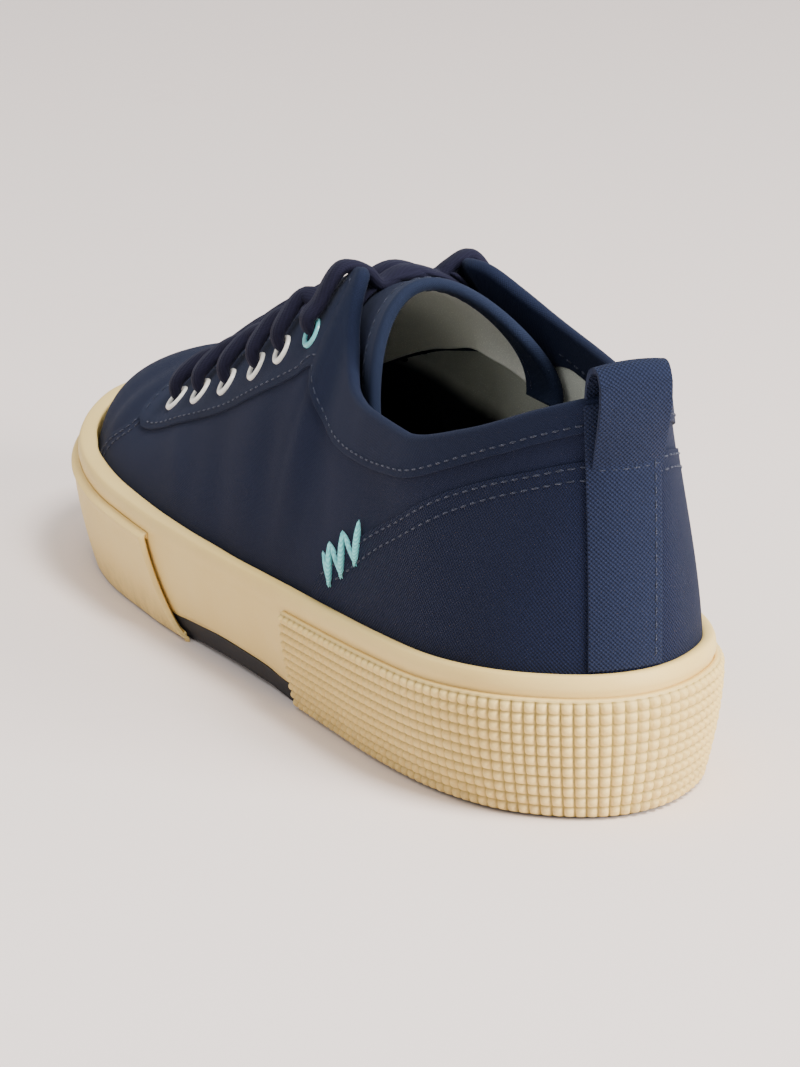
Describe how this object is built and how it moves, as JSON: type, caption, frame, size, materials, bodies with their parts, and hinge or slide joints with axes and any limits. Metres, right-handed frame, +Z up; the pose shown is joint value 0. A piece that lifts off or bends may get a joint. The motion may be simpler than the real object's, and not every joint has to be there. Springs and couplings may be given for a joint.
{
  "type": "canvas sneaker",
  "caption": "Left low canvas lace-up sneaker: hollow upper with laced facings, tongue and heel pull loop, on a rubber sole with toe and heel overlays.",
  "frame": {"origin": "on the floor, under the middle of the shoe's bounding box", "axes": "+Z up, +Y towards the heel, +X towards the outer (lateral) side"},
  "size_m": [0.0957, 0.2746, 0.101],
  "materials": {
    "dark_rubber": "matte moulded rubber",
    "cream_rubber": "satin rubber, slightly scuffed",
    "navy_canvas": "woven cotton canvas",
    "grey_lining": "woven cotton lining",
    "navy_lace": "ribbed cotton lace",
    "navy_webbing": "ribbed webbing tape",
    "ivory_enamel": "enamelled eyelet",
    "teal_enamel": "enamelled eyelet",
    "thread": "twisted sewing thread",
    "teal_thread": "twisted sewing thread"
  },
  "bodies": {
    "root": {"outsole": "dark_rubber", "midsole": "cream_rubber", "foxing": "cream_rubber", "toe_bumper": "cream_rubber", "heel_bumper": "cream_rubber", "insole": "grey_lining", "upper": "navy_canvas", "tongue": "navy_canvas", "eyelet_lateral_1": "ivory_enamel", "eyelet_lateral_2": "ivory_enamel", "eyelet_lateral_3": "ivory_enamel", "eyelet_lateral_4": "ivory_enamel", "eyelet_lateral_5": "ivory_enamel", "eyelet_lateral_6": "teal_enamel", "eyelet_medial_1": "ivory_enamel", "eyelet_medial_2": "ivory_enamel", "eyelet_medial_3": "ivory_enamel", "eyelet_medial_4": "ivory_enamel", "eyelet_medial_5": "ivory_enamel", "eyelet_medial_6": "teal_enamel", "lace": "navy_lace", "pull_loop": "navy_webbing"}
  },
  "joints": []
}
